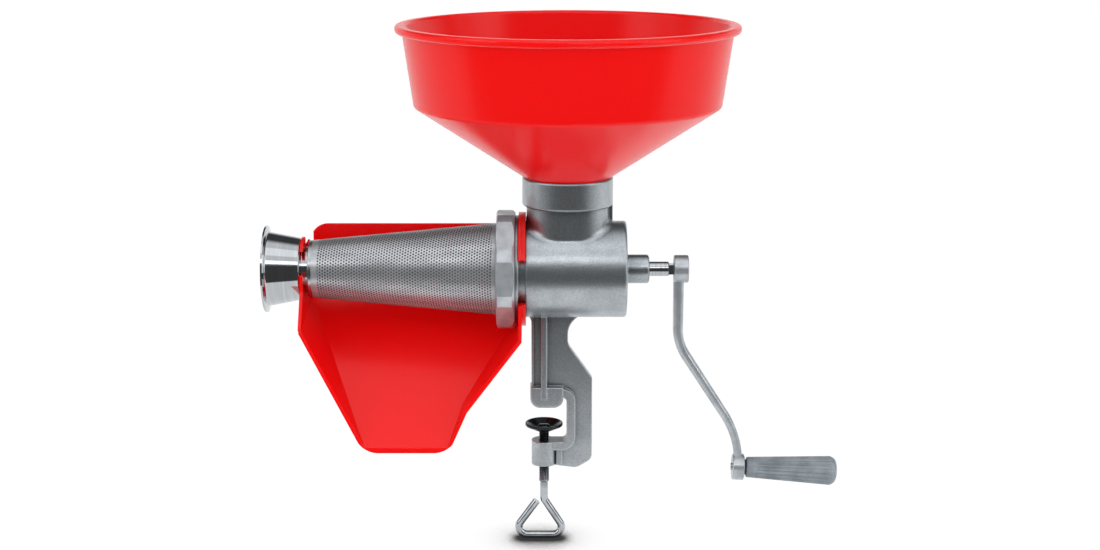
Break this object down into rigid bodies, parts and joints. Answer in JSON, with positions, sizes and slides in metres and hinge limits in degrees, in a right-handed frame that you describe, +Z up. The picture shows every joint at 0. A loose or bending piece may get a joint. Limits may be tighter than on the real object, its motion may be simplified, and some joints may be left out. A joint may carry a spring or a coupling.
{
  "type": "food mill",
  "caption": "Hand-cranked food mill with a round hopper, a screw-fed conical filter, a splash chute and a table clamp.",
  "frame": {"origin": "middle of the upper jaw's flat underside, which stands on the table top, straight above the clamp screw's axis", "axes": "+X along the drive axis towards the crank, +Y away from the splash chute's lip, +Z up"},
  "size_m": [0.5013, 0.2928, 0.4591],
  "materials": {
    "cast_aluminium": "satin cast",
    "perforated_stainless": "perforated sheet",
    "polished_steel": "polished",
    "chromed_steel": "chrome plated",
    "red_plastic": "satin moulded",
    "cast_ring": "machined casting",
    "white_nylon": "moulded",
    "grey_plastic": "satin moulded",
    "black_rubber": "matt",
    "dark_fibre": "matt",
    "bearing_brass": "turned"
  },
  "bodies": {
    "mill_body": {"body_casting": "cast_aluminium", "shaft_bush": "bearing_brass", "shaft_seal": "black_rubber", "thrust_washer": "polished_steel"},
    "crank": {"drive_shaft": "polished_steel", "drive_pin": "polished_steel", "auger": "white_nylon", "crank_arm": "cast_aluminium", "crank_set_screw": "chromed_steel", "grip_pin": "chromed_steel", "grip_washer": "dark_fibre"},
    "grip": {"grip": "grey_plastic"},
    "filter_set": {"filter_cone": "perforated_stainless", "filter_rim": "perforated_stainless", "filter_end_ring": "perforated_stainless", "filter_gasket": "black_rubber", "waste_chute": "polished_steel"},
    "ring_nut": {"ring_nut": "cast_ring"},
    "splash_guard": {"splash_guard": "red_plastic"},
    "hopper": {"hopper": "red_plastic"},
    "clamp_pad": {"clamp_pad": "chromed_steel"},
    "clamp_screw": {"clamp_screw": "chromed_steel"}
  },
  "joints": [
    {"name": "crank_turn", "type": "hinge", "parent": "mill_body", "child": "crank", "pos_m": [0, 0, 0.1232], "axis": [1, 0, 0], "continuous": true},
    {"name": "grip_spin", "type": "hinge", "parent": "crank", "child": "grip", "pos_m": [0.1724, 0, -0.057], "axis": [0.999, 0, -0.0436], "continuous": true},
    {"name": "filter_slacken", "type": "slide", "parent": "mill_body", "child": "filter_set", "axis": [-1, 0, 0], "range_m": [0, 0.0021]},
    {"name": "nut_turn", "type": "hinge", "parent": "filter_set", "child": "ring_nut", "pos_m": [0, 0, 0.1232], "axis": [-1, 0, 0], "range_deg": [0, 180]},
    {"name": "guard_swivel", "type": "hinge", "parent": "mill_body", "child": "splash_guard", "pos_m": [0, 0, 0.1232], "axis": [1, 0, 0], "range_deg": [-20, 20]},
    {"name": "hopper_lift", "type": "slide", "parent": "mill_body", "child": "hopper", "axis": [0, 0, 1], "range_m": [0, 0.08]},
    {"name": "clamp_travel", "type": "slide", "parent": "mill_body", "child": "clamp_pad", "axis": [0, 0, 1], "range_m": [-0.0081, 0.0153]},
    {"name": "clamp_turn", "type": "hinge", "parent": "clamp_pad", "child": "clamp_screw", "pos_m": [0, 0, -0.02], "axis": [0, 0, 1], "range_deg": [-1920, 3648]}
  ],
  "couplings": [
    {"joint": "filter_slacken", "follows": "nut_turn", "m_per_rad": 0.00063662},
    {"joint": "clamp_travel", "follows": "clamp_turn", "m_per_rad": 0.00023873}
  ]
}
